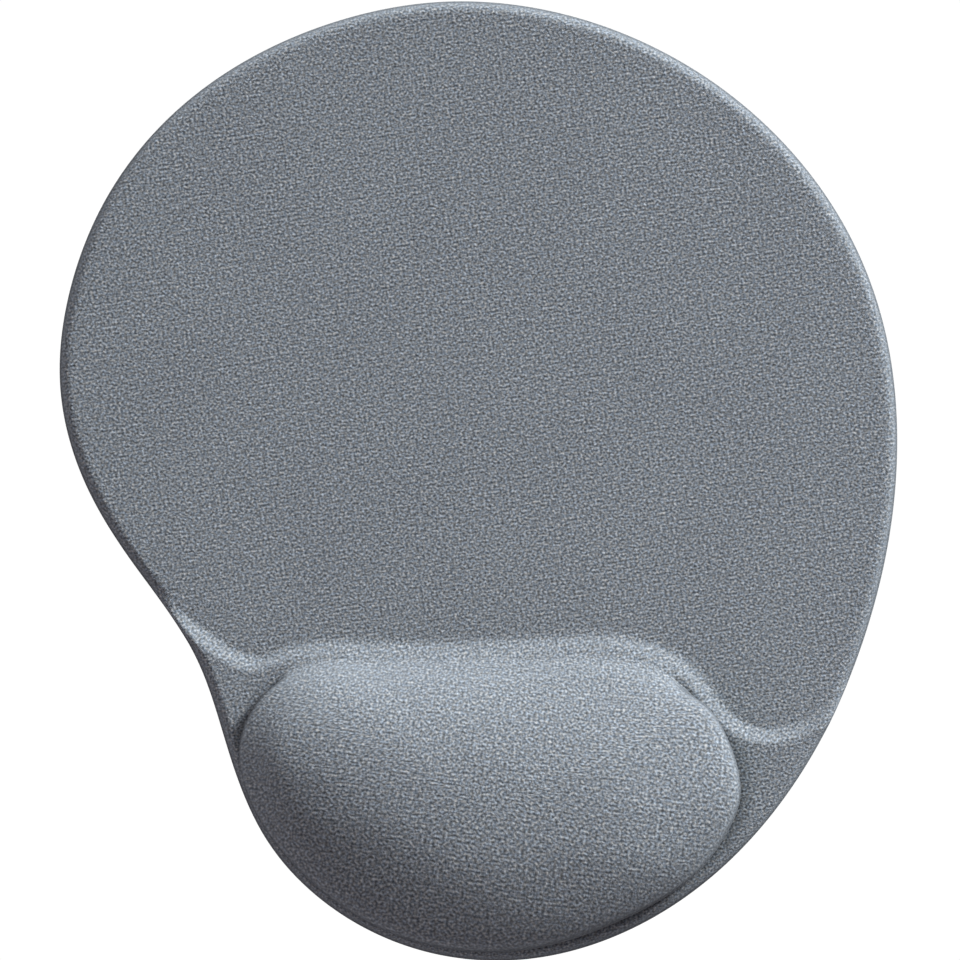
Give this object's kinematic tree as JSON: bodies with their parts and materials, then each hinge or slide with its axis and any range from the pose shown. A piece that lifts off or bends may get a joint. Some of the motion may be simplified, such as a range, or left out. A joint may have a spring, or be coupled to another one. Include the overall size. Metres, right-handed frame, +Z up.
{
  "type": "wrist rest",
  "caption": "Rounded mouse pad with a built-in gel wrist cushion at the near end, covered in one sheet of stretch knit rolled under at the edge, on a non-skid base.",
  "frame": {"origin": "centre of the footprint, on the desk, under the middle of the non-skid base sheet", "axes": "+Z up, +Y away from the user towards the pad end, -Y towards the user and the gel cushion, +X to the user's right"},
  "size_m": [0.2132, 0.244, 0.021],
  "materials": {
    "knit_cover": "grey stretch knit with a soft sheen",
    "backing_film": "milky film",
    "moulded_foam": "moulded soft foam",
    "gel": "clear soft gel",
    "pouch_film": "clear film",
    "tape": "adhesive tape",
    "glue_film": "dried contact glue",
    "base_rubber": "matt, moulded grip texture"
  },
  "bodies": {
    "root": {"cover_fabric": "knit_cover", "cover_backing_film": "backing_film", "pad_body": "moulded_foam", "gel_core": "gel", "pouch_top_film": "pouch_film", "pouch_base_film": "pouch_film", "pouch_tape": "tape", "base_adhesive": "glue_film", "nonskid_base_sheet": "base_rubber"}
  },
  "joints": []
}
